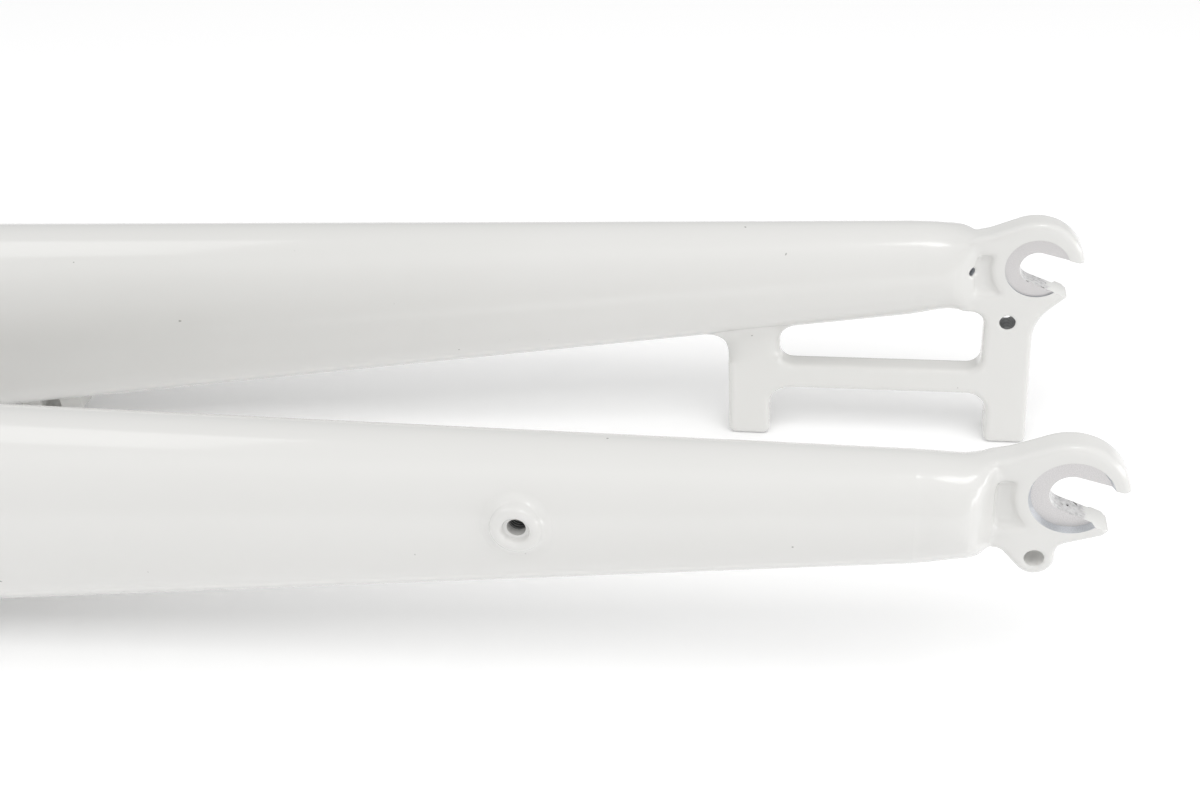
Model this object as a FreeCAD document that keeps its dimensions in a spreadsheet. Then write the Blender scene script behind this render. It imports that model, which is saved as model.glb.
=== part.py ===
"""Rigid disc-brake bicycle fork, lying on its back.

The fork is laid out from the middle of its axle: X runs along the fork with the dropouts at +X,
Y is across it with the rider's left at +Y, and Z is up, which is the fork's front. The finished
pieces are then moved so that the origin lies under the middle of the fork, on the surface that
carries the two brake posts and the back of the crown.
"""
import FreeCAD
import Part
import math
import os

V = FreeCAD.Vector
LEFT = 1
RIGHT = -1
SIDES = ((LEFT, "left"), (RIGHT, "right"))

# Driving dimensions, in millimetres and degrees
SIZES = (
    # Wheel and axle
    ("hub_width", 100.0),           # between the faces that clamp the hub
    ("axle_slot_width", 9.5),
    ("axle_slot_angle", 19.0),      # the slot opens this far behind the fork's length
    ("axle_slot_flare", 3.6),       # each wall of the slot opens by this angle
    # Steerer and crown
    ("axle_to_crown", 395.0),
    ("fork_rake", 45.0),
    ("steerer_tilt", 2.5),          # the steerer rises by this angle from the post faces' plane
    ("steerer_dia", 28.6),
    ("steerer_press_dia", 28.2),    # its lower end, turned down to press into the crown
    ("steerer_wall", 2.8),
    ("steerer_length", 255.0),      # above the foot of the crown race seat
    ("race_seat_dia", 30.1),
    ("race_seat_height", 9.0),
    ("barrel_dia", 43.0),           # the crown's barrel around the steerer
    ("barrel_height", 38.0),
    ("barrel_top_dia", 36.0),
    ("barrel_top_height", 8.0),
    ("crown_depth", 62.2),          # front to back over the shoulders
    ("crown_back_lift", 0.15),      # keeps the swell of the shoulders level with the post faces
    ("shoulder_width", 43.0),
    ("arch_depth", 54.0),           # front to back over the arch
    ("arch_height", 36.0),
    ("crown_wall", 5.0),
    ("mudguard_hole_dia", 6.2),
    # Blades
    ("blade_foot", 34.0),           # distance of the foot from the axle
    ("blade_top", 338.0),
    ("blade_wall", 2.2),
    ("foot_depth", 27.2),
    ("foot_width", 22.4),
    ("foot_spread", 113.2),         # between the middles of the two feet
    ("foot_set", 4.1),              # the foot's middle lies this far behind the axle
    ("top_depth", 62.2),
    ("top_width", 47.0),
    ("top_spread", 96.2),
    ("top_set", 25.5),
    # Dropouts
    ("plate_thick", 7.5),
    ("clamp_face_dia", 17.4),
    ("hub_face_depth", 0.5),
    ("nut_recess_depth", 1.6),
    ("nut_recess_mouth", 18.8),
    ("hook_radius", 13.2),
    ("hook_ahead", -0.7),
    ("hook_rise", 0.2),
    ("hook_saddle", 7.4),           # from the hook's back to the dip before the neck
    ("jaw_angle", -42.0),           # where the lower jaw ends, about the hook's middle
    ("jaw_tip", 2.3),
    ("edge_round", 1.6),
    ("neck_depth", 23.4),
    ("neck_width", 7.4),
    ("neck_power", 4.5),            # how square the neck's section is
    ("neck_set", 3.1),
    ("neck_distance", 15.5),        # the shoulder ends this far from the axle
    ("pocket_depth", 1.6),
    ("pocket_round", 1.2),          # between the pocket's wall and floor
    ("pocket_radius", 12.3),        # the pocket's round side, about the axle
    ("pocket_back", 16.5),
    ("pocket_front_edge", 3.7),
    ("pocket_rear_edge", 8.6),
    ("pocket_corner", 1.7),
    ("spigot_length", 16.0),
    ("spigot_wall", 3.0),
    ("spigot_clearance", 0.15),
    ("vent_dia", 2.4),
    ("vent_rise", 1.7),             # above the neck's middle
    # Mudguard eyelet of the right dropout and its twin in the brake bracket
    ("eyelet_thread", 4.2),
    ("eyelet_mouth", 5.2),
    ("eyelet_radius", 4.6),
    ("eyelet_ahead", -6.7),
    ("eyelet_drop", 17.1),
    # Brake bracket
    ("post_spacing", 74.2),
    ("post_drop", 57.5),            # from the axle to the post faces
    ("post_ahead", -4.7),           # the lower post's middle, along the fork from the axle
    ("post_width", 12.0),
    ("post_thick", 12.4),
    ("post_lean", 1.0),             # the lower post's front leans back by this much
    ("bracket_bend", 17.0),         # from the axle to the bend between the post and the lower jaw
    ("post_corner", 1.8),
    ("post_thread", 5.0),
    ("post_thread_depth", 16.0),
    ("bar_drop", 33.5),             # from the axle to the bar's near edge
    ("bar_height", 7.7),
    ("bar_fillet", 6.0),
    ("window_fillet", 4.0),
    # Rack bosses
    ("boss_distance", 122.2),
    ("boss_drop", 6.1),
    ("boss_dia", 12.4),
    ("boss_height", 2.2),
    ("boss_shank", 8.0),
    ("boss_length", 12.0),
    ("boss_thread", 4.2),
    ("boss_counterbore", 6.4),
    ("boss_counterbore_depth", 1.8),
    ("boss_round", 1.2),
    # Hose guide
    ("guide_distance", 299.2),
    ("guide_length", 21.0),
    ("guide_width", 8.0),
    ("guide_drop", 57.0),           # from the axle to the guide's outer face
    ("guide_bridge", 1.9),
    ("guide_slot_length", 6.4),
    ("guide_slot_height", 3.6),
    ("guide_round", 1.6),
)

doc = FreeCAD.newDocument("BicycleFork")
sheet = doc.addObject("Spreadsheet::Sheet", "Sizes")
for row, (alias, value) in enumerate(SIZES, start=1):
    sheet.set("A%d" % row, alias)
    sheet.set("B%d" % row, str(value))
    sheet.setAlias("B%d" % row, alias)
doc.recompute()


def size(alias):
    """A driving dimension as a number."""
    return float(getattr(sheet, alias))


def bind(obj, **expressions):
    """Tie properties of an object to the sheet's cells."""
    for prop, text in expressions.items():
        obj.setExpression(prop, text)


# Places that follow from the driving dimensions
TILT = math.radians(size("steerer_tilt"))
STEERER_UP = V(-math.cos(TILT), 0, math.sin(TILT))
FORK_FRONT = V(math.sin(TILT), 0, math.cos(TILT))
RACE_FOOT = STEERER_UP * size("axle_to_crown") - FORK_FRONT * size("fork_rake")
CROWN_MIDDLE = RACE_FOOT - STEERER_UP * (size("barrel_height") / 2)
STEERER_TOP = RACE_FOOT + STEERER_UP * size("steerer_length")

INNER_FACE = size("hub_width") / 2 - size("hub_face_depth")
OUTER_FACE = INNER_FACE + size("plate_thick")
SLOT_RADIUS = size("axle_slot_width") / 2
UPPER_WALL = math.radians(size("axle_slot_flare") - size("axle_slot_angle"))
LOWER_WALL = math.radians(-size("axle_slot_flare") - size("axle_slot_angle"))

CUT_MARGIN = 1.0
SAME_POINT = 1e-6
FORK_REACH = size("hook_ahead") + size("hook_radius")
FORK_TAIL = STEERER_TOP.x - size("steerer_dia") / 2 * math.sin(TILT)
ROW_ORIGIN = FreeCAD.Placement(V(-(FORK_REACH + FORK_TAIL) / 2, 0, size("post_drop")),
                               FreeCAD.Rotation())


def between(start, end, share):
    """The value a share of the way from start to end."""
    return start + (end - start) * share


class Section:
    """An oval section across the fork: its distance from the axle, middle and two radii."""

    def __init__(self, distance, spread, drop, depth_radius, width_radius):
        self.distance = distance
        self.spread = spread
        self.drop = drop
        self.depth_radius = depth_radius
        self.width_radius = width_radius

    def toward(self, other, share):
        """The section a share of the way to another one."""
        return Section(between(self.distance, other.distance, share),
                       between(self.spread, other.spread, share),
                       between(self.drop, other.drop, share),
                       between(self.depth_radius, other.depth_radius, share),
                       between(self.width_radius, other.width_radius, share))

    def inset(self, wall):
        """The section inside a wall."""
        return Section(self.distance, self.spread, self.drop,
                       self.depth_radius - wall, self.width_radius - wall)


FOOT = Section(size("blade_foot"), size("foot_spread") / 2, size("foot_set"),
               size("foot_depth") / 2, size("foot_width") / 2)
TOP = Section(size("blade_top"), size("top_spread") / 2, size("top_set"),
              size("top_depth") / 2, size("top_width") / 2)
NECK = Section(size("neck_distance"), (INNER_FACE + OUTER_FACE) / 2, size("neck_set"),
               size("neck_depth") / 2, size("neck_width") / 2)


def blade_at(distance):
    """The blade's oval at a distance from the axle."""
    return FOOT.toward(TOP, (distance - FOOT.distance) / (TOP.distance - FOOT.distance))


def blade_back(x):
    """Height of the blade's back at a place along the fork."""
    oval = blade_at(-x)
    return -oval.drop - oval.depth_radius


def oval(name, section, side, turn=0.0):
    """An ellipse across the fork, or turned about Z to follow the crown's arch."""
    obj = doc.addObject("Part::Ellipse", name)
    obj.MajorRadius = section.depth_radius
    obj.MinorRadius = section.width_radius
    across = FreeCAD.Rotation(V(0, 0, 1), turn).multiply(FreeCAD.Rotation(V(0, 1, 0), 90))
    middle = V(-section.distance, side * section.spread, -section.drop)
    obj.Placement = FreeCAD.Placement(middle, across)
    return obj


def loft(name, sections, ruled):
    """A solid through ovals."""
    obj = doc.addObject("Part::Loft", name)
    obj.Sections = sections
    obj.Solid = True
    obj.Ruled = ruled
    return obj


def oval_run(name, sections, side, ruled=True):
    """A solid through ovals across the fork."""
    ovals = [oval("%s_oval_%d" % (name, i), s, side) for i, s in enumerate(sections)]
    return loft(name, ovals, ruled)


def cylinder(name, radius, height, base, axis):
    """A round bar; radius and height are expressions over the sheet."""
    obj = doc.addObject("Part::Cylinder", name)
    bind(obj, Radius=radius, Height=height)
    obj.Placement = FreeCAD.Placement(base, FreeCAD.Rotation(V(0, 0, 1), axis))
    return obj


def cone(name, radius1, radius2, height, base, axis):
    """A tapered bar; radii and height are expressions over the sheet."""
    obj = doc.addObject("Part::Cone", name)
    bind(obj, Radius1=radius1, Radius2=radius2, Height=height)
    obj.Placement = FreeCAD.Placement(base, FreeCAD.Rotation(V(0, 0, 1), axis))
    return obj


def fuse(name, shapes):
    obj = doc.addObject("Part::MultiFuse", name)
    obj.Shapes = shapes
    obj.Refine = True
    return obj


def cut(name, base, tools):
    """A shape less one or more tools."""
    obj = doc.addObject("Part::Cut", name)
    obj.Base = base
    obj.Tool = tools[0] if len(tools) == 1 else fuse(name + "_tools", tools)
    obj.Refine = True
    return obj


def side_outline(name, y, corners):
    """A closed sketch seen from the side, through corners (x, z, radius) that are rounded off."""
    sketch = doc.addObject("Sketcher::SketchObject", name)
    sketch.Placement = FreeCAD.Placement(V(0, y, 0), FreeCAD.Rotation(V(1, 0, 0), 90))
    turns = []
    for i, (x, z, radius) in enumerate(corners):
        here = V(x, z, 0)
        before = corners[i - 1]
        after = corners[(i + 1) % len(corners)]
        back = (V(before[0], before[1], 0) - here).normalize()
        ahead = (V(after[0], after[1], 0) - here).normalize()
        half = back.getAngle(ahead) / 2
        reach = radius / math.tan(half)
        bulge = here + (back + ahead).normalize() * (radius / math.sin(half) - radius)
        turns.append((here + back * reach, bulge, here + ahead * reach, radius))
    for i, (enter, bulge, leave, radius) in enumerate(turns):
        if radius > 0:
            sketch.addGeometry(Part.Arc(enter, bulge, leave))
        onward = turns[(i + 1) % len(turns)][0]
        if leave.distanceToPoint(onward) > SAME_POINT:
            sketch.addGeometry(Part.LineSegment(leave, onward))
    return sketch


def slab(name, sketch, thickness):
    """A side outline given a thickness across the fork; thickness is an expression."""
    obj = doc.addObject("Part::Extrusion", name)
    obj.Base = sketch
    obj.DirMode = "Custom"
    obj.Dir = V(0, 1, 0)
    bind(obj, LengthFwd=thickness)
    obj.Solid = True
    return obj


def rounded(name, base, radius, wanted):
    """Round the edges of a shape that a test picks."""
    doc.recompute()
    obj = doc.addObject("Part::Fillet", name)
    obj.Base = base
    obj.Edges = [(i, radius, radius) for i, edge in enumerate(base.Shape.Edges, start=1) if wanted(edge)]
    return obj


def on_circle(centre, radius, degrees):
    angle = math.radians(degrees)
    return (centre[0] + radius * math.cos(angle), centre[1] + radius * math.sin(angle))


def finish(label, shape):
    """Name a finished piece and move it from the axle's frame to the part's own."""
    shape.Label = label
    shape.Placement = ROW_ORIGIN
    return shape


# Blades: straight tapered oval tubes, each with a hole for the rack boss
def boss_seat(side):
    """The point of the blade's outside that carries the rack boss."""
    section = blade_at(size("boss_distance"))
    rise = (section.drop - size("boss_drop")) / section.depth_radius
    return V(-size("boss_distance"),
             side * (section.spread + section.width_radius * math.sqrt(1 - rise * rise)),
             -size("boss_drop"))


def blade_tube(side, word):
    """The outside of a blade, which other pieces are fitted to, and the finished tube."""
    outside = oval_run(word + "_blade_outside", [FOOT, TOP], side)
    wall = size("blade_wall")
    ends = [blade_at(FOOT.distance - CUT_MARGIN), blade_at(TOP.distance + CUT_MARGIN)]
    inside = oval_run(word + "_blade_inside", [end.inset(wall) for end in ends], side)
    boss_hole = cylinder(word + "_boss_hole", "Sizes.boss_shank/2", "Sizes.boss_length",
                         boss_seat(side) + V(0, side * CUT_MARGIN, 0), V(0, -side, 0))
    return outside, cut(word + "_blade_tube", outside, [inside, boss_hole])


# Dropouts: a forged shoulder that fits the blade's foot and flattens into a plate with a hook
# Shares of the way from the foot to the neck in length and in width: the end of the blade is a dome
SHOULDER_SHARES = ((0.0, 0.0), (0.22, 0.0), (0.44, 0.01), (0.57, 0.05), (0.68, 0.15), (0.77, 0.34),
                   (0.85, 0.60), (0.93, 0.87), (1.0, 1.0))
SPIGOT_SHARE = 0.2
HOLLOW_SHARE = 0.45
OVAL_POINTS = 24
ELLIPSE_POWER = 2.0


def shoulder_at(share, width_share):
    """The shoulder's section: it leaves the foot in line with the blade and ends as the neck."""
    distance = between(FOOT.distance, NECK.distance, share)
    straight = blade_at(distance)
    depth_share = share * share * (3 - 2 * share)
    return Section(distance, between(straight.spread, NECK.spread, width_share),
                   between(straight.drop, NECK.drop, depth_share),
                   between(straight.depth_radius, NECK.depth_radius, depth_share),
                   between(straight.width_radius, NECK.width_radius, width_share))


def squared_oval(section, side, power):
    """A closed curve across the fork: an ellipse at power 2, nearer a rectangle as it grows."""
    points = []
    for i in range(OVAL_POINTS):
        angle = 2 * math.pi * i / OVAL_POINTS
        across = math.copysign(abs(math.cos(angle)) ** (2 / power), math.cos(angle))
        upright = math.copysign(abs(math.sin(angle)) ** (2 / power), math.sin(angle))
        points.append(V(-section.distance, side * section.spread + section.width_radius * across,
                        -section.drop + section.depth_radius * upright))
    curve = Part.BSplineCurve()
    curve.interpolate(points, PeriodicFlag=True)
    return Part.Wire([curve.toShape()])


def shoulder(side, word):
    """The shoulder, the spigot inside the blade's foot and the hollow in both."""
    wires = []
    for share, width in SHOULDER_SHARES:
        power = between(ELLIPSE_POWER, size("neck_power"), width)
        wires.append(squared_oval(shoulder_at(share, width), side, power))
    body = doc.addObject("Part::Feature", word + "_shoulder")
    body.Shape = Part.makeLoft(wires, True, False)
    fit = size("blade_wall") + size("spigot_clearance")
    spigot_end = FOOT.distance + size("spigot_length")
    spigot = oval_run(word + "_spigot", [FOOT.toward(NECK, SPIGOT_SHARE).inset(fit),
                                         blade_at(spigot_end).inset(fit)], side)
    thin = fit + size("spigot_wall")
    hollow = oval_run(word + "_hollow", [FOOT.toward(NECK, HOLLOW_SHARE).inset(thin),
                                         blade_at(spigot_end + CUT_MARGIN).inset(thin)], side)
    entry = V(-NECK.distance + size("vent_dia") / 3, side * (INNER_FACE - size("vent_dia") / 2),
              -NECK.drop + size("vent_rise"))
    vent = cylinder(word + "_vent", "Sizes.vent_dia/2", "Sizes.blade_foot - Sizes.neck_distance",
                    entry, V(-math.cos(VENT_ANGLE), side * math.sin(VENT_ANGLE), 0))
    return [body, spigot], [hollow, vent]


VENT_ANGLE = math.radians(30)
HOOK = (size("hook_ahead"), size("hook_rise"))
HOOK_TOP_ANGLE = 35
HOOK_BACK_ANGLE = 112
EYELET = (size("eyelet_ahead"), -size("eyelet_drop"))
NECK_TOP = -NECK.drop + NECK.depth_radius
NECK_BACK = -NECK.drop - NECK.depth_radius

# How the plate's outline runs into the shoulder and the blade
SINK = 0.4
ROOT_REACH = 3.0
ROOT_INSET = 5.5
ROOT_CORNER = 3.0
POST_ROOT_SINK = 0.6
POST_ROOT_CORNER = 2.0

# Small turns of the plates' outlines
JAW_CORNER = 1.8
NOTCH_AHEAD = 1.2
NOTCH_FILLET = 2.0
TAB_SHELF = 3.2
TAB_FILLET = 2.6
WINDOW_FRONT_GAP = 2.3
WINDOW_BACK_GAP = 2.9


def wall_height(angle, x):
    """Height of a slot wall, tangent to the axle's round, at a place along the fork."""
    quarter = math.pi / 2 if angle == UPPER_WALL else -math.pi / 2
    touch = on_circle((0, 0), SLOT_RADIUS, math.degrees(angle + quarter))
    return touch[1] + (x - touch[0]) * math.tan(angle)


def round_corner(centre, radius, start, end):
    """The corner whose rounding is the arc of a circle between two angles."""
    apex = on_circle(centre, radius / math.cos(math.radians(end - start) / 2), (start + end) / 2)
    return apex + (radius,)


def touch_angle(centre, radius, point):
    """Where a line from a point outside first touches a circle, going anticlockwise."""
    apart = (point[0] - centre[0], point[1] - centre[1])
    bearing = math.degrees(math.atan2(apart[1], apart[0]))
    return bearing + math.degrees(math.acos(radius / math.hypot(apart[0], apart[1])))


def hook_corners(start):
    """From the lower jaw's tip round the hook, over the neck and back along the buried end."""
    radius = size("hook_radius")
    back = on_circle(HOOK, radius, HOOK_BACK_ANGLE)
    saddle = size("hook_saddle")
    slope = math.tan(math.radians(HOOK_BACK_ANGLE - 90))
    burial = between(-NECK.distance, -FOOT.distance, 0.5)
    return [round_corner(HOOK, radius, start, HOOK_TOP_ANGLE),
            round_corner(HOOK, radius, HOOK_TOP_ANGLE, HOOK_BACK_ANGLE),
            (back[0] - saddle, back[1] - saddle * slope, radius),
            (-NECK.distance - ROOT_REACH, NECK_TOP - SINK, ROOT_CORNER),
            (burial, NECK_TOP - ROOT_INSET, ROOT_CORNER),
            (burial, NECK_BACK + ROOT_INSET, ROOT_CORNER),
            (-NECK.distance - ROOT_REACH - CUT_MARGIN, NECK_BACK + SINK, ROOT_CORNER)]


def right_plate_corners():
    """The right plate, with the mudguard eyelet's tab under its neck."""
    radius = size("eyelet_radius")
    jaw_touch = on_circle(HOOK, size("hook_radius"), size("jaw_angle"))
    jaw = on_circle(jaw_touch, size("jaw_tip"), size("jaw_angle") - 90)
    notch = (-NECK.distance + NOTCH_AHEAD, NECK_BACK - SINK)
    back = touch_angle(EYELET, radius, notch)
    bottom = (back + 360) / 2
    return hook_corners(size("jaw_angle")) + [
        notch + (NOTCH_FILLET,),
        round_corner(EYELET, radius, back, bottom),
        round_corner(EYELET, radius, bottom, 360),
        (EYELET[0] + radius, jaw[1] - TAB_SHELF, TAB_FILLET),
        jaw + (JAW_CORNER,)]


def left_plate_corners():
    """The left plate, with the brake bracket's window, bar and two posts."""
    half = size("post_width") / 2
    corner = size("post_corner")
    fillet = size("bar_fillet")
    nick = size("window_fillet")
    low = size("post_ahead")
    high = low - size("post_spacing")
    end = -size("post_drop")
    bar_near = -size("bar_drop")
    bar_far = bar_near - size("bar_height")
    window_front = low - half - WINDOW_FRONT_GAP
    window_back = high + half + WINDOW_BACK_GAP
    root_front = window_back + fillet + ROOT_REACH
    root_back = high - half - fillet - ROOT_REACH
    root_front_z = blade_back(root_front) + POST_ROOT_SINK
    root_back_z = blade_back(root_back) + POST_ROOT_SINK
    shin = lower_post_front(-size("bracket_bend"))
    return hook_corners(touch_angle(HOOK, size("hook_radius"), shin)) + [
        # Window between the blade and the bar
        (window_front, NECK_BACK + SINK, nick),
        (window_front, bar_near, nick),
        (window_back, bar_near, nick),
        (window_back, root_front_z, fillet),
        # Root of the upper post, inside the blade
        (root_front, root_front_z, POST_ROOT_CORNER),
        (root_front, root_front_z + half, POST_ROOT_CORNER),
        (root_back, root_back_z + half, POST_ROOT_CORNER),
        (root_back, root_back_z, POST_ROOT_CORNER),
        # Upper post, bar and lower post
        (high - half, root_back_z, fillet),
        (high - half, end, corner),
        (high + half, end, corner),
        (high + half, bar_far, fillet),
        (low - half, bar_far, fillet),
        (low - half, end, corner),
        (low + half, end, corner),
        shin + (size("hook_radius"),)]


def lower_post_front(z):
    """The lower post's front edge, which leans back a little as it rises."""
    share = (z + size("post_drop")) / (size("post_drop") - size("bracket_bend"))
    return (size("post_ahead") + size("post_width") / 2 - size("post_lean") * share, z)


def pocket_tool(word, number, start, floor):
    """The shallow pocket in the neck, whose round side follows the clamp face."""
    radius = size("pocket_radius")
    top = math.degrees(math.pi - math.asin(size("pocket_front_edge") / radius))
    low = math.degrees(math.pi + math.asin(size("pocket_rear_edge") / radius))
    upper = on_circle((0, 0), radius, top)
    lower = on_circle((0, 0), radius, low)
    back = -size("pocket_back")
    corner = size("pocket_corner")
    waist = round_corner((0, 0), radius, top, low)
    outline = [(back, upper[1], corner), upper + (0,), waist, lower + (0,), (back, lower[1], corner)]
    sketch = side_outline("%s_pocket_outline_%d" % (word, number), start, outline)
    block = slab("%s_pocket_block_%d" % (word, number), sketch, "Sizes.pocket_depth + %g" % (CUT_MARGIN * 2))

    def round_the_floor(edge):
        return across_the_fork(edge) and abs(edge.BoundBox.YMin - floor) < SAME_POINT
    return rounded("%s_pocket_%d" % (word, number), block, size("pocket_round"), round_the_floor)


def pocket_tools(side, word):
    """The pockets of the plate's two faces."""
    depth = size("pocket_depth")
    faces = sorted((side * INNER_FACE, side * OUTER_FACE))
    return [pocket_tool(word, 0, faces[0] - CUT_MARGIN * 2, faces[0] + depth),
            pocket_tool(word, 1, faces[1] - depth, faces[1] - depth)]


def slot_tool(side, word):
    """The open slot that takes the axle, through the plate."""
    reach = FORK_REACH + CUT_MARGIN
    upper_touch = math.degrees(UPPER_WALL) + 90
    lower_touch = math.degrees(LOWER_WALL) + 270
    closed_end = (upper_touch + lower_touch) / 2
    outline = [(reach, wall_height(LOWER_WALL, reach), 0),
               (reach, wall_height(UPPER_WALL, reach), 0),
               round_corner((0, 0), SLOT_RADIUS, upper_touch, closed_end),
               round_corner((0, 0), SLOT_RADIUS, closed_end, lower_touch)]
    near = min(side * INNER_FACE, side * OUTER_FACE) - CUT_MARGIN
    sketch = side_outline(word + "_slot_outline", near, outline)
    return slab(word + "_slot", sketch, "Sizes.plate_thick + %g" % (CUT_MARGIN * 2))


def clamp_faces(side, word):
    """The round faces for the hub and for the axle's nut, cut into the plate's two sides."""
    hub_face = cylinder(word + "_hub_face", "Sizes.clamp_face_dia/2",
                        "Sizes.hub_face_depth + %g" % CUT_MARGIN,
                        V(0, side * (INNER_FACE - CUT_MARGIN), 0), V(0, side, 0))
    nut_face = cone(word + "_nut_face", "Sizes.clamp_face_dia/2", "Sizes.nut_recess_mouth/2",
                    "Sizes.nut_recess_depth",
                    V(0, side * (OUTER_FACE - size("nut_recess_depth")), 0), V(0, side, 0))
    return [hub_face, nut_face]


def eyelet_tools(side, word):
    """The mudguard eyelet's threaded hole and its countersunk mouth."""
    hole = cylinder(word + "_eyelet_hole", "Sizes.eyelet_thread/2",
                    "Sizes.plate_thick + %g" % (CUT_MARGIN * 2),
                    V(EYELET[0], side * (INNER_FACE - CUT_MARGIN), EYELET[1]), V(0, side, 0))
    mouth = cone(word + "_eyelet_mouth", "Sizes.eyelet_thread/2", "Sizes.eyelet_mouth/2",
                 "(Sizes.eyelet_mouth - Sizes.eyelet_thread)/2",
                 V(EYELET[0], side * (OUTER_FACE - (size("eyelet_mouth") - size("eyelet_thread")) / 2),
                   EYELET[1]), V(0, side, 0))
    return [hole, mouth]


def plate(side, word, corners):
    """The flat of the dropout with rounded edges."""
    near = min(side * INNER_FACE, side * OUTER_FACE)
    flat = slab(word + "_plate", side_outline(word + "_plate_outline", near, corners), "Sizes.plate_thick")
    return rounded(word + "_plate_rounded", flat, size("edge_round"), across_the_fork)


def across_the_fork(edge):
    """Whether an edge lies in a face square to the axle."""
    return edge.BoundBox.YLength < SAME_POINT


def post(name, middle, lean):
    """A brake post, thicker than the plate, with its inner face level with the plate's."""
    half = size("post_width") / 2
    corner = size("post_corner")
    end = -size("post_drop")
    bar_middle = -size("bar_drop") - size("bar_height") / 2
    front = lower_post_front(bar_middle)[0] if lean else middle + half
    outline = [(middle + half, end, corner), (front, bar_middle, corner),
               (middle - half, bar_middle, corner), (middle - half, end, corner)]
    block = slab(name + "_block", side_outline(name + "_outline", INNER_FACE, outline), "Sizes.post_thick")
    return rounded(name, block, size("edge_round"), across_the_fork)


def post_hole(name, middle):
    """The thread in a post, open at the post's face."""
    across = INNER_FACE + size("post_thick") / 2
    return cylinder(name, "Sizes.post_thread/2", "Sizes.post_thread_depth + %g" % CUT_MARGIN,
                    V(middle, across, -size("post_drop") - CUT_MARGIN), V(0, 0, 1))


def dropout(side, word, extra_solids, extra_tools):
    """A forging: shoulder, spigot and whatever the side adds, less its hollows and faces."""
    solids, hollows = shoulder(side, word)
    tools = hollows + clamp_faces(side, word) + eyelet_tools(side, word) + pocket_tools(side, word)
    tools.append(slot_tool(side, word))
    raw = fuse(word + "_dropout_raw", solids + extra_solids)
    return cut(word + "_dropout_forging", raw, tools + extra_tools)


def right_dropout():
    return dropout(RIGHT, "right", [plate(RIGHT, "right", right_plate_corners())], [])


def left_dropout(blade_outside):
    low = size("post_ahead")
    high = low - size("post_spacing")
    flat = plate(LEFT, "left", left_plate_corners())
    raw = fuse("bracket_raw", [flat, post("lower_post", low, True), post("upper_post", high, False)])
    bracket = cut("bracket_seated", raw, [blade_outside])
    holes = [post_hole("lower_post_hole", low), post_hole("upper_post_hole", high)]
    return dropout(LEFT, "left", [bracket], holes)


# Rack bosses: a flanged threaded insert in the outside of each blade
def rack_boss(side, word, blade_outside):
    seat = boss_seat(side)
    outward = V(0, side, 0)
    head_root = size("boss_dia") / 4
    head = cylinder(word + "_boss_head", "Sizes.boss_dia/2", "Sizes.boss_height + Sizes.boss_dia/4",
                    seat - outward * head_root, outward)
    crown_edge = seat.y + side * size("boss_height")

    def rim(edge):
        return across_the_fork(edge) and abs(edge.BoundBox.YMin - crown_edge) < SAME_POINT
    flange = cut(word + "_boss_flange", rounded(word + "_boss_dome", head, size("boss_round"), rim),
                 [blade_outside])
    shank = cylinder(word + "_boss_body", "Sizes.boss_shank/2", "Sizes.boss_length",
                     seat + outward * (size("boss_height") / 2 - size("boss_length")), outward)
    thread = cylinder(word + "_boss_thread", "Sizes.boss_thread/2",
                      "Sizes.boss_length + Sizes.boss_height + %g" % CUT_MARGIN,
                      seat - outward * size("boss_length"), outward)
    counterbore = cylinder(word + "_boss_counterbore", "Sizes.boss_counterbore/2",
                           "Sizes.boss_counterbore_depth + %g" % CUT_MARGIN,
                           seat + outward * (size("boss_height") - size("boss_counterbore_depth")), outward)
    return cut(word + "_rack_boss_turned", fuse(word + "_boss_raw", [flange, shank]), [thread, counterbore])


# Hose guide: a small bridge on the back of the left blade, with a slot for a tie
GUIDE_BURIAL = 4.0
GUIDE_RAMP = 4.0


def hose_guide(blade_outside):
    body = doc.addObject("PartDesign::Body", "hose_guide_block")
    planes = {plane.Role: plane for plane in body.Origin.OriginFeatures}
    section = blade_at(size("guide_distance"))
    root = section.drop + section.depth_radius - GUIDE_BURIAL
    profile = body.newObject("Sketcher::SketchObject", "guide_side")
    profile.AttachmentSupport = [(planes["XZ_Plane"], "")]
    profile.MapMode = "FlatFace"
    middle = -size("guide_distance")
    half = size("guide_length") / 2
    outer_face = -size("guide_drop")
    ramp_foot = outer_face + GUIDE_RAMP / 2
    corners = [V(middle - half, -root, 0), V(middle - half, ramp_foot, 0),
               V(middle - half + GUIDE_RAMP, outer_face, 0), V(middle + half - GUIDE_RAMP, outer_face, 0),
               V(middle + half, ramp_foot, 0), V(middle + half, -root, 0)]
    for first, last in zip(corners, corners[1:] + corners[:1]):
        profile.addGeometry(Part.LineSegment(first, last))
    pad = body.newObject("PartDesign::Pad", "guide_pad")
    pad.Profile = profile
    bind(pad, Length="Sizes.guide_width")
    slot = doc.addObject("Part::Box", "guide_slot")
    bind(slot, Length="Sizes.guide_slot_length", Width="Sizes.guide_width + %g" % (2 * CUT_MARGIN),
         Height="Sizes.guide_slot_height")
    across = section.spread
    body.Placement.Base = V(0, across + size("guide_width") / 2, 0)
    slot.Placement.Base = V(middle - size("guide_slot_length") / 2,
                            across - size("guide_width") / 2 - CUT_MARGIN,
                            outer_face + size("guide_bridge"))

    def outer(edge):
        return across_the_fork(edge) and edge.BoundBox.ZMax < -root - CUT_MARGIN
    block = rounded("guide_rounded", body, size("guide_round"), outer)
    return cut("hose_guide_bridge", block, [blade_outside, slot])


# Crown: a forged arch from blade to blade with a barrel for the steerer
STRAIGHT_SHARE = 0.2
STRAIGHT_DROP_SHARE = 0.4
BEND_WALL_SHARE = 1.6


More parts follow.
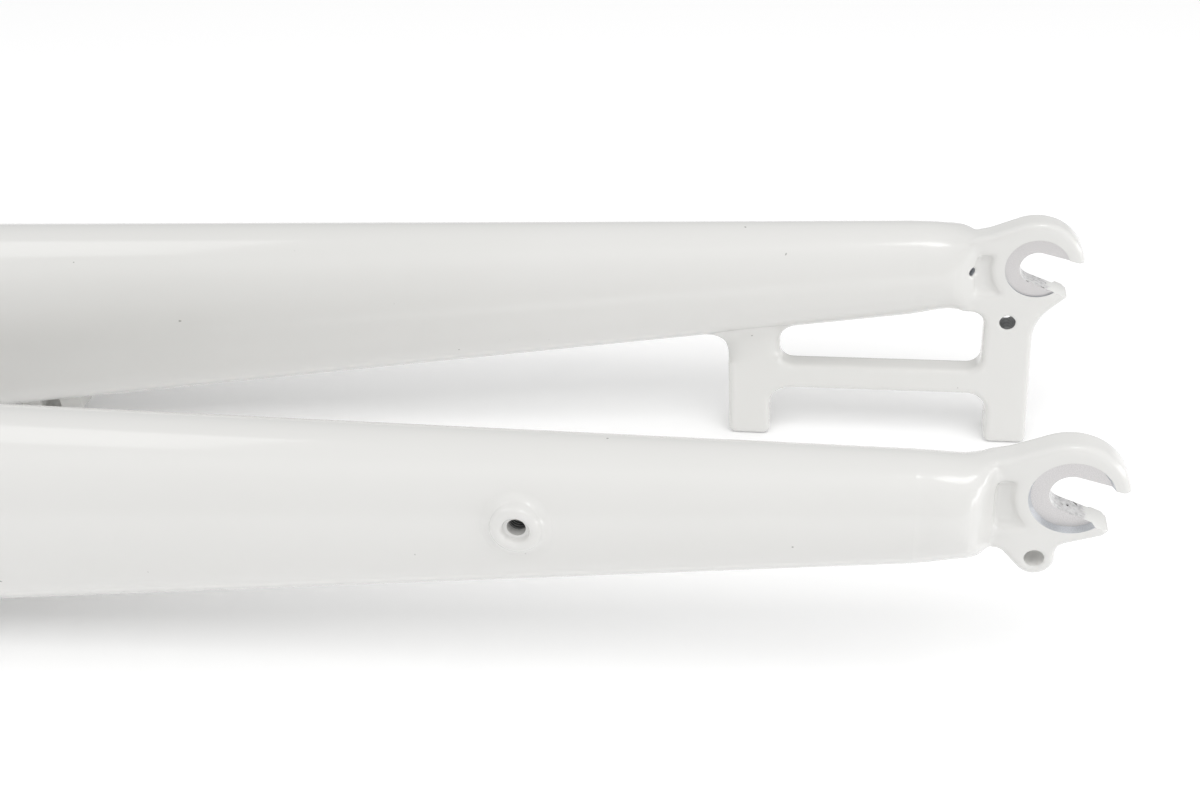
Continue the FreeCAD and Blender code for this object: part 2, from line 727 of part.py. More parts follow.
def fork_crown():
    rise = -CROWN_MIDDLE.x - TOP.distance
    shoulder_drop = size("post_drop") - size("crown_depth") / 2 - size("crown_back_lift")
    lift = math.sqrt(0.5)
    straight = Section(TOP.distance + rise * STRAIGHT_SHARE, TOP.spread,
                       between(TOP.drop, shoulder_drop, STRAIGHT_DROP_SHARE),
                       TOP.depth_radius, TOP.width_radius)
    bend = Section(TOP.distance + rise * lift, TOP.spread * lift, shoulder_drop,
                   size("crown_depth") / 2, size("shoulder_width") / 2)
    arch = Section(-CROWN_MIDDLE.x, 0.0, -CROWN_MIDDLE.z, size("arch_depth") / 2, size("arch_height") / 2)
    bend_turn = math.degrees(math.atan2(TOP.spread, rise))
    stations = [(TOP, LEFT, 180), (straight, LEFT, 180), (bend, LEFT, 180 + bend_turn), (arch, LEFT, 270),
                (bend, RIGHT, 360 - bend_turn), (straight, RIGHT, 360), (TOP, RIGHT, 360)]
    ovals = [oval("crown_oval_%d" % i, s, side, turn) for i, (s, side, turn) in enumerate(stations)]
    yoke = loft("crown_yoke", ovals, False)
    wall = size("crown_wall")
    hollows = []
    for side, word in SIDES:
        turn = 180 if side == LEFT else 360
        mouth = blade_at(TOP.distance - CUT_MARGIN)
        inner = [oval(word + "_crown_hollow_oval_0", mouth.inset(wall), side, turn),
                 oval(word + "_crown_hollow_oval_1", straight.inset(wall), side, turn),
                 oval(word + "_crown_hollow_oval_2", bend.inset(wall * BEND_WALL_SHARE), side,
                      180 + bend_turn if side == LEFT else 360 - bend_turn)]
        hollows.append(loft(word + "_crown_hollow", inner, False))
    barrel_foot = RACE_FOOT - STEERER_UP * size("barrel_height")
    barrel = cylinder("crown_barrel", "Sizes.barrel_dia/2", "Sizes.barrel_height - Sizes.barrel_top_height",
                      barrel_foot, STEERER_UP)
    barrel_top = cone("crown_barrel_top", "Sizes.barrel_dia/2", "Sizes.barrel_top_dia/2",
                      "Sizes.barrel_top_height",
                      RACE_FOOT - STEERER_UP * size("barrel_top_height"), STEERER_UP)
    seat = cylinder("crown_race_seat", "Sizes.race_seat_dia/2", "Sizes.race_seat_height",
                    RACE_FOOT, STEERER_UP)
    bore = cylinder("crown_bore", "Sizes.steerer_press_dia/2",
                    "Sizes.barrel_height + Sizes.race_seat_height + %g" % (2 * CUT_MARGIN),
                    barrel_foot - STEERER_UP * CUT_MARGIN, STEERER_UP)
    solid = fuse("crown_solid", [cut("crown_shell", yoke, hollows), barrel, barrel_top, seat])
    return cut("fork_crown_forging", solid, [bore, mudguard_hole("crown")])


def mudguard_hole(word):
    """The hole from front to back for the mudguard's bolt, square to the steerer."""
    return cylinder(word + "_mudguard_hole", "Sizes.mudguard_hole_dia/2", "Sizes.crown_depth * 2",
                    CROWN_MIDDLE - FORK_FRONT * size("crown_depth"), FORK_FRONT)


# Steerer: a plain tube whose turned-down end is pressed through the crown's barrel
def steerer_tube():
    foot = RACE_FOOT - STEERER_UP * size("barrel_height")
    ledge = RACE_FOOT + STEERER_UP * size("race_seat_height")
    pressed = cylinder("steerer_pressed_end", "Sizes.steerer_press_dia/2",
                       "Sizes.barrel_height + Sizes.race_seat_height", foot, STEERER_UP)
    free = cylinder("steerer_free_length", "Sizes.steerer_dia/2",
                    "Sizes.steerer_length - Sizes.race_seat_height", ledge, STEERER_UP)
    inside = cylinder("steerer_inside", "Sizes.steerer_dia/2 - Sizes.steerer_wall",
                      "Sizes.barrel_height + Sizes.steerer_length + %g" % (2 * CUT_MARGIN),
                      foot - STEERER_UP * CUT_MARGIN, STEERER_UP)
    return cut("steerer_turned", fuse("steerer_solid", [pressed, free]), [inside, mudguard_hole("steerer")])


def main():
    pieces = []
    outsides = {}
    for side, word in SIDES:
        outsides[side], tube = blade_tube(side, word)
        pieces.append(finish(word + "_blade", tube))
    for side, word in SIDES:
        pieces.append(finish(word + "_rack_boss", rack_boss(side, word, outsides[side])))
    pieces.append(finish("left_dropout", left_dropout(outsides[LEFT])))
    pieces.append(finish("right_dropout", right_dropout()))
    pieces.append(finish("hose_guide", hose_guide(outsides[LEFT])))
    pieces.append(finish("fork_crown", fork_crown()))
    pieces.append(finish("steerer_tube", steerer_tube()))
    doc.recompute()

    for obj in doc.Objects:
        faults = [word for word in obj.State if word in ("Invalid", "Error")]
        if faults:
            raise RuntimeError("%s: %s" % (obj.Name, ", ".join(faults)))
    os.makedirs("parts", exist_ok=True)
    for piece in pieces:
        shape = piece.Shape
        if shape.isNull() or not shape.isValid():
            raise RuntimeError("%s is not a valid solid" % piece.Label)
        print("%-16s solids %d volume %.0f mm3" % (piece.Label, len(shape.Solids), shape.Volume))
        shape.exportStep("parts/%s.step" % piece.Label)


main()
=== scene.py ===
"""Looks of a rigid disc-brake bicycle fork, dressed over its CAD frame."""
import math

import bmesh
import bpy
from mathutils import Matrix, Vector


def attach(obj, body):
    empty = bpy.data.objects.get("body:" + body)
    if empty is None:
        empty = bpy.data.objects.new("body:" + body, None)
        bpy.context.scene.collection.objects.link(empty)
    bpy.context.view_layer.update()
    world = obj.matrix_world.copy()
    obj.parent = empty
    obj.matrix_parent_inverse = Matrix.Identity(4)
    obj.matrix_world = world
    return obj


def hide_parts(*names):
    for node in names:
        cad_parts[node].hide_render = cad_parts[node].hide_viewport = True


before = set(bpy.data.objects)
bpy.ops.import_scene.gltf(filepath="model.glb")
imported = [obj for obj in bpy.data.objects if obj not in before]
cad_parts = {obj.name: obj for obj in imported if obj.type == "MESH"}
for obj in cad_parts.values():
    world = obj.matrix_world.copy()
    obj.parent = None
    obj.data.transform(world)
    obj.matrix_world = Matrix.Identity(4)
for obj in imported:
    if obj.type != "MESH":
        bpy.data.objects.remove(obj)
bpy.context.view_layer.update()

MM = 0.001
LEFT = 1
RIGHT = -1
SIDES = ((LEFT, "left"), (RIGHT, "right"))
OUTWARD = Vector((0.0, 1.0, 0.0))

# The middle of the axle in the shared frame, in metres
AXLE = Vector((0.319734, 0.0, 0.0575))

# Places and sizes of the fork, in millimetres from the middle of its axle
INNER_FACE = 49.5
OUTER_FACE = 57.0
HUB_FACE_DEPTH = 0.5
CLAMP_FACE_RADIUS = 8.7
NUT_RECESS_DEPTH = 1.6
NUT_RECESS_MOUTH = 9.4
SLOT_RADIUS = 4.75
SLOT_ANGLE = 19.0
SLOT_FLARE = 3.6
SLOT_LENGTH = 20.0
EYELET = (-6.7, -17.1)
EYELET_RADIUS = 2.2
POSTS = (-4.7, -78.9)
POST_MIDDLE = 55.7
POST_DROP = 57.5
POST_THREAD_RADIUS = 2.55
POST_THREAD_DEPTH = 16.0
VENT_MOUTH = (-14.7, 48.3, -1.4)
VENT_RADIUS = 1.2
VENT_ANGLE = math.radians(30)
VENT_LENGTH = 12.0
BLADE_WALL = 2.2
BOSS_DISTANCE = 122.2
BOSS_DROP = 6.1
BOSS_SHANK = 4.0
BOSS_REACH = 10.9
BOSS_MOUTH = 3.0
BOSS_FOOT = 0.8
BOSS_THREAD_RADIUS = 2.2
BOSS_PAINT = 2.0
BOSS_RISE = 0.7
GUIDE_SPAN = (285.0, 314.0)
STEERER_TILT = math.radians(2.5)
STEERER_UP = Vector((-math.cos(STEERER_TILT), 0.0, math.sin(STEERER_TILT)))
FORK_FRONT = Vector((math.sin(STEERER_TILT), 0.0, math.cos(STEERER_TILT)))
AXLE_TO_CROWN = 395.0
RAKE = 45.0
RACE_FOOT = STEERER_UP * AXLE_TO_CROWN - FORK_FRONT * RAKE
BARREL_HEIGHT = 38.0
CROWN_BORE_RADIUS = 14.12
BOLT_RADIUS = 3.1

# The blade's ovals: distance from the axle, spread and drop of the middle, half depth, half width
FOOT = (34.0, 56.6, 4.1, 13.6, 11.2)
TOP = (338.0, 48.1, 25.5, 31.1, 23.5)

# Turned outlines about the steerer's axis: radius, and height over the foot of the race seat
STEERER_OUTLINE = ((11.5, -BARREL_HEIGHT), (14.1, -BARREL_HEIGHT), (14.1, 9.0), (14.3, 9.2),
                   (14.3, 254.5), (13.8, 255.0), (12.0, 255.0), (11.5, 254.5))
RACE_OUTLINE = ((CROWN_BORE_RADIUS, -1.0), (17.9, -1.0), (17.9, 0.02), (15.4, 0.02),
                (15.05, 0.4), (15.05, 8.6), (14.7, 8.98), (CROWN_BORE_RADIUS, 8.98))


def at_axle(x, y, z):
    """A point in the fork's frame from millimetres about the middle of the axle."""
    return AXLE + Vector((x, y, z)) * MM


def across(place, y):
    """A point beside the axle, from its place in side view and its distance across."""
    return (place[0], y, place[1])


def blade_oval(distance):
    """The blade's oval at a distance from the axle."""
    share = (distance - FOOT[0]) / (TOP[0] - FOOT[0])
    return [start + (end - start) * share for start, end in zip(FOOT, TOP)]


# Nodes of the finishes
def new_finish(name):
    """A node material with its tree, shader and object coordinates."""
    finish = bpy.data.materials.new(name)
    finish.use_nodes = True
    tree = finish.node_tree
    shader = tree.nodes["Principled BSDF"]
    place = tree.nodes.new("ShaderNodeTexCoord")
    return finish, tree, shader, place.outputs["Object"]


def speckle(tree, place, scale, detail=2.0, stretch=(1.0, 1.0, 1.0)):
    """Noise over the piece, stretched along the fork's directions."""
    mapping = tree.nodes.new("ShaderNodeMapping")
    mapping.inputs["Scale"].default_value = stretch
    tree.links.new(place, mapping.inputs["Vector"])
    noise = tree.nodes.new("ShaderNodeTexNoise")
    noise.inputs["Scale"].default_value = scale
    noise.inputs["Detail"].default_value = detail
    tree.links.new(mapping.outputs["Vector"], noise.inputs["Vector"])
    return noise.outputs["Fac"]


def ramp(tree, factor, *stops):
    """A colour ramp through (place, colour) stops."""
    node = tree.nodes.new("ShaderNodeValToRGB")
    band = node.color_ramp
    band.elements[0].position, band.elements[0].color = stops[0]
    band.elements[1].position, band.elements[1].color = stops[-1]
    for position, colour in stops[1:-1]:
        band.elements.new(position).color = colour
    tree.links.new(factor, node.inputs["Fac"])
    return node.outputs["Color"]


def grey(level):
    """A plain grey colour."""
    return (level, level, level, 1.0)


def toned(tint, level):
    """A tint made darker or lighter."""
    return tuple(level * part for part in tint) + (1.0,)


def greys(tree, factor, *stops):
    """A ramp through (place, grey level) stops."""
    return ramp(tree, factor, *[(position, grey(level)) for position, level in stops])


def mixed(tree, factor, first, second):
    """A colour mixed from two others by a mask."""
    node = tree.nodes.new("ShaderNodeMix")
    node.data_type = "RGBA"
    tree.links.new(factor, node.inputs["Factor"])
    for source, socket in ((first, node.inputs["A"]), (second, node.inputs["B"])):
        if isinstance(source, tuple):
            socket.default_value = source
        else:
            tree.links.new(source, socket)
    return node.outputs["Result"]


def reckoned(tree, operation, *sources):
    """Arithmetic on sockets and plain numbers."""
    node = tree.nodes.new("ShaderNodeMath")
    node.operation = operation
    for source, socket in zip(sources, node.inputs):
        if isinstance(source, float):
            socket.default_value = source
        else:
            tree.links.new(source, socket)
    return node.outputs["Value"]


def spanned(tree, value, start, end):
    """A value made to run from 0 to 1 between two limits."""
    span = tree.nodes.new("ShaderNodeMapRange")
    span.inputs["From Min"].default_value = start
    span.inputs["From Max"].default_value = end
    tree.links.new(value, span.inputs["Value"])
    return span.outputs["Result"]


def relief(tree, shader, *heights):
    """Bumps laid over each other: (height, strength, distance in metres) each."""
    under = None
    for height, strength, distance in heights:
        bump = tree.nodes.new("ShaderNodeBump")
        bump.inputs["Strength"].default_value = strength
        bump.inputs["Distance"].default_value = distance
        tree.links.new(height, bump.inputs["Height"])
        if under:
            tree.links.new(under, bump.inputs["Normal"])
        under = bump.outputs["Normal"]
    tree.links.new(under, shader.inputs["Normal"])


# Tones of the finishes
PAINT_LOW = (0.758, 0.754, 0.733, 1.0)
PAINT_HIGH = (0.780, 0.775, 0.757, 1.0)
PAINT_SPECK = (0.42, 0.42, 0.40, 1.0)
PAINT_SCUFF = (0.66, 0.66, 0.64, 1.0)
FACE_TINT = (0.69, 0.675, 0.675)
# Bluish-grey copy of the faced alloy's tint, painted shade on the walls of recesses and holes
PAINTED_SHADE_TINT = (0.68, 0.70, 0.73)
SCRAPED = (0.84, 0.83, 0.83, 1.0)
NICK = (0.045, 0.042, 0.04, 1.0)
REMNANT_PAINT = (0.83, 0.83, 0.81, 1.0)
# Painted shade and light of a thread: dark at its roots and lighter at its crests
THREAD_ROOT_SHADE = (0.16, 0.16, 0.165, 1.0)
THREAD_CREST_LIGHT = (0.52, 0.525, 0.53, 1.0)
DRAWN_LOW = (0.54, 0.545, 0.555, 1.0)
DRAWN_HIGH = (0.66, 0.66, 0.67, 1.0)
DIE_MARK = (0.40, 0.40, 0.41, 1.0)

# Heights of the finishes' relief, in metres
PEEL_HEIGHT = 0.0002
RING_HEIGHT = 0.00004
GRAIN_HEIGHT = 0.0001
STREAK_HEIGHT = 0.0002
RIB_HEIGHT = 0.0004
DIE_LINE_HEIGHT = 0.0001

# The slot's remnant of paint begins and is whole at these distances from the axle, in millimetres
REMNANT_FROM = 6.4
REMNANT_WHOLE = 9.2

# How much more the slot is nicked along its edges than over the middle
NICKS_AT_EDGES = 0.13

# Scale of a band texture that gives one band to a unit of length
ONE_BAND = math.pi / 10

# Pitches of the threads, in millimetres
COARSE_PITCH = 1.0
FINE_PITCH = 0.8


def white_gloss_paint():
    """Thick gloss white paint: faint orange peel, slight unevenness of tone, a few specks and scuffs."""
    finish, tree, shader, place = new_finish("white_gloss_paint")
    tone = ramp(tree, speckle(tree, place, scale=9.0), (0.3, PAINT_LOW), (0.7, PAINT_HIGH))
    specks = greys(tree, speckle(tree, place, scale=460.0, detail=1.0), (0.815, 0.0), (0.84, 1.0))
    speckled = mixed(tree, specks, tone, PAINT_SPECK)
    rubbed = speckle(tree, place, scale=70.0, detail=4.0, stretch=(1.0, 4.0, 4.0))
    scuffs = greys(tree, rubbed, (0.76, 0.0), (0.82, 0.35))
    tree.links.new(mixed(tree, scuffs, speckled, PAINT_SCUFF), shader.inputs["Base Color"])
    gloss = greys(tree, speckle(tree, place, scale=40.0, detail=3.0), (0.3, 0.16), (0.75, 0.22))
    tree.links.new(gloss, shader.inputs["Roughness"])
    shader.inputs["Coat Weight"].default_value = 0.5
    shader.inputs["Coat Roughness"].default_value = 0.06
    relief(tree, shader, (speckle(tree, place, scale=380.0, detail=1.0), 0.05, PEEL_HEIGHT))
    return finish


def about_the_axle(tree, place):
    """Object coordinates measured from the axle's line."""
    centred = tree.nodes.new("ShaderNodeMapping")
    centred.inputs["Location"].default_value = (-AXLE.x, 0.0, -AXLE.z)
    centred.inputs["Scale"].default_value = (1.0, 0.0, 1.0)
    tree.links.new(place, centred.inputs["Vector"])
    return centred.outputs["Vector"]


def off_the_middle(tree, place):
    """How far across a dropout's thickness a point lies: 0 over the middle, 1 at either face."""
    split = tree.nodes.new("ShaderNodeSeparateXYZ")
    tree.links.new(place, split.inputs["Vector"])
    spread = reckoned(tree, "ABSOLUTE", split.outputs["Y"])
    off = reckoned(tree, "SUBTRACT", spread, (INNER_FACE + OUTER_FACE) / 2 * MM)
    thickness = OUTER_FACE - INNER_FACE
    return spanned(tree, reckoned(tree, "ABSOLUTE", off), thickness / 5 * MM, thickness / 2 * MM)


def faced_alloy(name, tint):
    """Bare machined aluminium of a tint, with fine turned rings and a dull grain."""
    finish, tree, shader, place = new_finish(name)
    rings = tree.nodes.new("ShaderNodeTexWave")
    rings.wave_type = "RINGS"
    rings.rings_direction = "SPHERICAL"
    rings.inputs["Scale"].default_value = 1600.0
    rings.inputs["Distortion"].default_value = 2.0
    rings.inputs["Detail"].default_value = 2.0
    rings.inputs["Detail Scale"].default_value = 6.0
    tree.links.new(about_the_axle(tree, place), rings.inputs["Vector"])
    grain = speckle(tree, place, scale=5200.0)
    tone = ramp(tree, grain, (0.30, toned(tint, 0.86)), (0.72, toned(tint, 1.06)))
    ringed = greys(tree, rings.outputs["Fac"], (0.2, 0.0), (0.9, 0.25))
    tree.links.new(mixed(tree, ringed, tone, toned(tint, 1.0)), shader.inputs["Base Color"])
    shader.inputs["Metallic"].default_value = 0.85
    rough = greys(tree, grain, (0.3, 0.55), (0.7, 0.42))
    tree.links.new(rough, shader.inputs["Roughness"])
    relief(tree, shader, (rings.outputs["Fac"], 0.15, RING_HEIGHT), (grain, 0.15, GRAIN_HEIGHT))
    return finish


def slot_alloy():
    """The slot's walls: scraped aluminium with streaks and dark nicks, and paint left at the tips."""
    finish, tree, shader, place = new_finish("slot_alloy")
    reach = tree.nodes.new("ShaderNodeVectorMath")
    reach.operation = "LENGTH"
    tree.links.new(about_the_axle(tree, place), reach.inputs[0])
    outer = spanned(tree, reach.outputs["Value"], REMNANT_FROM * MM, REMNANT_WHOLE * MM)
    flakes = reckoned(tree, "ADD", outer, speckle(tree, place, scale=1100.0, detail=3.0))
    painted = greys(tree, flakes, (0.88, 0.0), (0.94, 1.0))
    streaks = speckle(tree, place, scale=1300.0, detail=3.0, stretch=(0.5, 1.0, 1.6))
    metal = ramp(tree, streaks, (0.34, grey(0.68)), (0.5, SCRAPED), (0.66, grey(0.93)))
    edges = reckoned(tree, "MULTIPLY", off_the_middle(tree, place), NICKS_AT_EDGES)
    knocks = speckle(tree, place, scale=900.0, detail=4.0, stretch=(0.7, 0.9, 1.0))
    nicks = greys(tree, reckoned(tree, "ADD", edges, knocks), (0.685, 0.0), (0.715, 1.0))
    bare = mixed(tree, nicks, metal, NICK)
    tree.links.new(mixed(tree, painted, bare, REMNANT_PAINT), shader.inputs["Base Color"])
    gleam = greys(tree, flakes, (0.88, 0.6), (0.94, 0.0))
    tree.links.new(gleam, shader.inputs["Metallic"])
    rough = greys(tree, streaks, (0.3, 0.5), (0.7, 0.34))
    tree.links.new(rough, shader.inputs["Roughness"])
    relief(tree, shader, (streaks, 0.25, STREAK_HEIGHT))
    return finish


def thread_metal(name, axis, pitch):
    """The inside of a threaded hole: metal darkened as painted shade of the hole, with bands at the
    thread's pitch painted as shade on its roots and light on its crests, and ribbed by a bump.
    """
    finish, tree, shader, place = new_finish(name)
    ribs = tree.nodes.new("ShaderNodeTexWave")
    ribs.wave_type = "BANDS"
    ribs.bands_direction = axis
    ribs.inputs["Scale"].default_value = ONE_BAND / (pitch * MM)
    tree.links.new(place, ribs.inputs["Vector"])
    # Painted light and shade: bands at the thread's pitch, darker at the roots and lighter at the crests
    tone = ramp(tree, ribs.outputs["Fac"], (0.2, THREAD_ROOT_SHADE), (0.8, THREAD_CREST_LIGHT))
    tree.links.new(tone, shader.inputs["Base Color"])
    shader.inputs["Metallic"].default_value = 0.9
    shader.inputs["Roughness"].default_value = 0.48
    relief(tree, shader, (ribs.outputs["Fac"], 0.8, RIB_HEIGHT))
    return finish


def drawn_alloy():
    """The steerer's satin drawn aluminium: long faint die lines, clouded tone and handling marks."""
    finish, tree, shader, place = new_finish("drawn_alloy")
    along = tree.nodes.new("ShaderNodeMapping")
    along.inputs["Rotation"].default_value = (0.0, STEERER_TILT, 0.0)
    tree.links.new(place, along.inputs["Vector"])
    lines = speckle(tree, along.outputs["Vector"], scale=900.0, detail=3.0, stretch=(0.02, 1.0, 1.0))
    clouds = speckle(tree, place, scale=45.0, detail=4.0)
    tone = ramp(tree, clouds, (0.3, DRAWN_LOW), (0.7, DRAWN_HIGH))
    marks = greys(tree, lines, (0.62, 0.0), (0.75, 0.5))
    tree.links.new(mixed(tree, marks, tone, DIE_MARK), shader.inputs["Base Color"])
    shader.inputs["Metallic"].default_value = 1.0
    rough = greys(tree, clouds, (0.3, 0.30), (0.7, 0.42))
    tree.links.new(rough, shader.inputs["Roughness"])
    relief(tree, shader, (lines, 0.15, DIE_LINE_HEIGHT))
    return finish


PAINT = white_gloss_paint()
FACED = faced_alloy("faced_alloy", FACE_TINT)
# A bluish-grey copy of the faced alloy, painted shade for the recess wall and the vent
PAINTED_SHADE_ALLOY = faced_alloy("painted_shade_alloy", PAINTED_SHADE_TINT)
SLOT = slot_alloy()
THREAD_ACROSS = thread_metal("thread_across", "Y", FINE_PITCH)
THREAD_UPRIGHT = thread_metal("thread_upright", "Z", COARSE_PITCH)
DRAWN = drawn_alloy()
DROPOUT_FINISHES = [PAINT, FACED, THREAD_ACROSS, THREAD_UPRIGHT, SLOT, PAINTED_SHADE_ALLOY]

# Fineness of the meshes, and the number of points under which an island is a crumb
BLADE_SEGMENTS = 160
BLADE_CUTS = 60
OVAL_SEGMENTS = 128
FILLER_SEGMENTS = 64
TOOL_SEGMENTS = 96
FACE_SEGMENTS = 128
TURNED_STEPS = 96
CRUMB = 40

# Lengths in millimetres: an edge that runs along a blade, and points near enough to merge
LONG_EDGE = 100.0
NODE_MERGE = 0.002
TURNED_MERGE = 0.001

# Angles in degrees: edges that stay sharp, and bends of the slot's hull that count as flat
EDGE_ANGLE = 32.0
BOSS_EDGE_ANGLE = 40.0
SLOT_MERGE_ANGLE = 0.5

# Share of each smoothing pass, and how squarely a clamp face's floor looks across
EASE_FACTOR = 0.5
FLAT_FACE = 0.9

# Room between pieces, and how far cutters run past what they cut, in millimetres
CLEARANCE = 0.03
BOSS_CLEARANCE = 0.008
PAST_FACE = 3.0
PAST_HOLE = 2.0
PAST_THREAD = 1.0
PAST_RECESS = 0.6
PAST_FLANGE = 4.0
PAST_BORE_FOOT = 4.0
PAST_BORE_HEAD = 14.0
PAST_BOLT = 40.0
THREAD_LAP = 0.1


# Making meshes
def object_of(name, bm, finishes):
    """An object at the origin from a bmesh, with its finishes in order."""
    mesh = bpy.data.meshes.new(name)
    bm.to_mesh(mesh)
    bm.free()
    for finish in finishes:
        mesh.materials.append(finish)
    obj = bpy.data.objects.new(name, mesh)
    bpy.context.scene.collection.objects.link(obj)
    return obj


def settle(obj):
    """Make an object's modifiers part of its mesh."""
    graph = bpy.context.evaluated_depsgraph_get()
    shaped = bpy.data.meshes.new_from_object(obj.evaluated_get(graph))
    old = obj.data
    obj.modifiers.clear()
    obj.data = shaped
    bpy.data.meshes.remove(old)


def set_piece(obj, nodes=(), edge_angle=EDGE_ANGLE):
    """Shade a finished piece, hang it on the fork and hide the CAD nodes it stands for."""
    obj.data.shade_smooth()
    obj.data.set_sharp_from_angle(angle=math.radians(edge_angle))
    even = obj.modifiers.new("even", "WEIGHTED_NORMAL")
    even.keep_sharp = True
    settle(obj)
    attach(obj, "root")
    if nodes:
        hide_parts(*nodes)


def clear_crumbs(obj):
    """Take away the loose crumbs that cuts leave beside a piece."""
    bm = bmesh.new()
    bm.from_mesh(obj.data)
    unseen = set(bm.verts)
    crumbs = []
    while unseen:
        front = [unseen.pop()]
        island = list(front)
        while front:
            vert = front.pop()
            beside = {edge.other_vert(vert) for edge in vert.link_edges} & unseen
            unseen -= beside
            front += beside
            island += beside
        if len(island) < CRUMB:
            crumbs += island
    bmesh.ops.delete(bm, geom=crumbs, context="VERTS")
    bm.to_mesh(obj.data)
    bm.free()


def cut_with(obj, *tools):
    """Cut tools out of an object; the cut faces take the finish of the tool's own index."""
    for tool in tools:
        trim = obj.modifiers.new("trim", "BOOLEAN")
        trim.operation = "DIFFERENCE"
        trim.solver = "MANIFOLD"
        trim.object = tool
    settle(obj)
    clear_crumbs(obj)
    for tool in tools:
        mesh = tool.data
        bpy.data.objects.remove(tool)
        bpy.data.meshes.remove(mesh)


def oval_place(oval, side, grow=0.0):
    """The matrix that lays a unit circle in the blade's oval, square to the fork."""
    distance, spread, drop, depth, width = oval
    middle = at_axle(-distance, side * spread, -drop)
    size = Matrix.Diagonal(((width + grow) * MM, (depth + grow) * MM, 1.0, 1.0))
    upright = Matrix(((0, 0, 1, 0), (1, 0, 0, 0), (0, 1, 0, 0), (0, 0, 0, 1)))
    return Matrix.Translation(middle) @ upright @ size


def oval_bar(bm, first, last, side, grow=0.0):
    """A closed solid bar between two of the blade's ovals."""
    foot = oval_place(blade_oval(first), side, grow)
    end = oval_place(blade_oval(last), side, grow)
    ring = bmesh.ops.create_circle(bm, cap_ends=True, segments=OVAL_SEGMENTS, radius=1.0, matrix=foot)
    face = list({f for v in ring["verts"] for f in v.link_faces})
    grown = bmesh.ops.extrude_face_region(bm, geom=face)
    moved = [g for g in grown["geom"] if isinstance(g, bmesh.types.BMVert)]
    bmesh.ops.transform(bm, matrix=end @ foot.inverted(), verts=moved)
    inner = [f for f in face if f.is_valid and len(f.edges) == OVAL_SEGMENTS
             and all(len(e.link_faces) > 2 for e in f.edges)]
    bmesh.ops.delete(bm, geom=inner, context="FACES_ONLY")
    bmesh.ops.recalc_face_normals(bm, faces=bm.faces[:])


def round_bar(bm, start, end, radius, end_radius, segments):
    """A closed solid bar or taper between two points, in millimetres about the axle."""
    first = at_axle(*start)
    last = at_axle(*end)
    run = last - first
    turn = run.to_track_quat("Z", "Y").to_matrix().to_4x4()
    place = Matrix.Translation((first + last) / 2) @ turn
    bmesh.ops.create_cone(bm, cap_ends=True, segments=segments, radius1=radius * MM,
                          radius2=end_radius * MM, depth=run.length, matrix=place)


def bar_tool(radius, start, end, finish):
    """A round bar to cut with, whose walls leave a finish."""
    bm = bmesh.new()
    round_bar(bm, start, end, radius, radius, TOOL_SEGMENTS)
    for face in bm.faces:
        face.material_index = DROPOUT_FINISHES.index(finish)
    return object_of("bar_tool", bm, DROPOUT_FINISHES)


def boss_seat(side):
    """The point of the blade's outside that carries the rack boss, in millimetres about the axle."""
    distance, spread, drop, depth, width = blade_oval(BOSS_DISTANCE)
    rise = (drop - BOSS_DROP) / depth
    return Vector((-distance, side * (spread + width * math.sqrt(1 - rise * rise)), -BOSS_DROP))


# Blades: oval tubes with a real wall
def blade(side, word):
    """One blade, with the hole for its rack boss."""
    bm = bmesh.new()
    foot = oval_place(FOOT, side)
    top = oval_place(TOP, side)
    ring = bmesh.ops.create_circle(bm, cap_ends=False, segments=BLADE_SEGMENTS, radius=1.0, matrix=foot)
    edges = list({e for v in ring["verts"] for e in v.link_edges})
    grown = bmesh.ops.extrude_edge_only(bm, edges=edges)
    moved = [g for g in grown["geom"] if isinstance(g, bmesh.types.BMVert)]
    bmesh.ops.transform(bm, matrix=top @ foot.inverted(), verts=moved)
    long_edges = [e for e in bm.edges if abs(e.verts[0].co.x - e.verts[1].co.x) > LONG_EDGE * MM]
    bmesh.ops.subdivide_edges(bm, edges=long_edges, cuts=BLADE_CUTS, use_grid_fill=True)
    bmesh.ops.recalc_face_normals(bm, faces=bm.faces[:])
    middle_y = side * (FOOT[1] + TOP[1]) / 2 * MM
    outmost = max(bm.faces, key=lambda f: side * f.calc_center_median().y)
    if (outmost.calc_center_median().y - middle_y) * outmost.normal.y < 0:
        bmesh.ops.reverse_faces(bm, faces=bm.faces[:])
    bmesh.ops.solidify(bm, geom=bm.faces[:], thickness=BLADE_WALL * MM)
    obj = object_of(word + "_blade_tube", bm, [PAINT])
    seat = boss_seat(side)
    out = OUTWARD * side
    cut_with(obj, bar_tool(BOSS_SHANK, seat + out * PAST_HOLE, seat - out * BOSS_REACH, PAINT))
    set_piece(obj, [word + "_blade"])


# Forged pieces: the CAD solid's surface, softened as a forging is, then machined
def merged_copy(node):
    """A closed copy of a CAD node's mesh."""
    bm = bmesh.new()
    bm.from_mesh(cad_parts[node].data)
    bmesh.ops.remove_doubles(bm, verts=bm.verts[:], dist=NODE_MERGE * MM)
    return bm


def softened(name, bm, grain, passes, finishes):
    """A skin over closed solids, at a grain in millimetres, with its edges and corners eased."""
    obj = object_of(name, bm, finishes)
    skin = obj.modifiers.new("skin", "REMESH")
    skin.mode = "VOXEL"
    skin.voxel_size = grain * MM
    ease = obj.modifiers.new("ease", "SMOOTH")
    ease.factor = EASE_FACTOR
    ease.iterations = passes
    settle(obj)
    if not obj.data.materials:
        for finish in finishes:
            obj.data.materials.append(finish)
    return obj


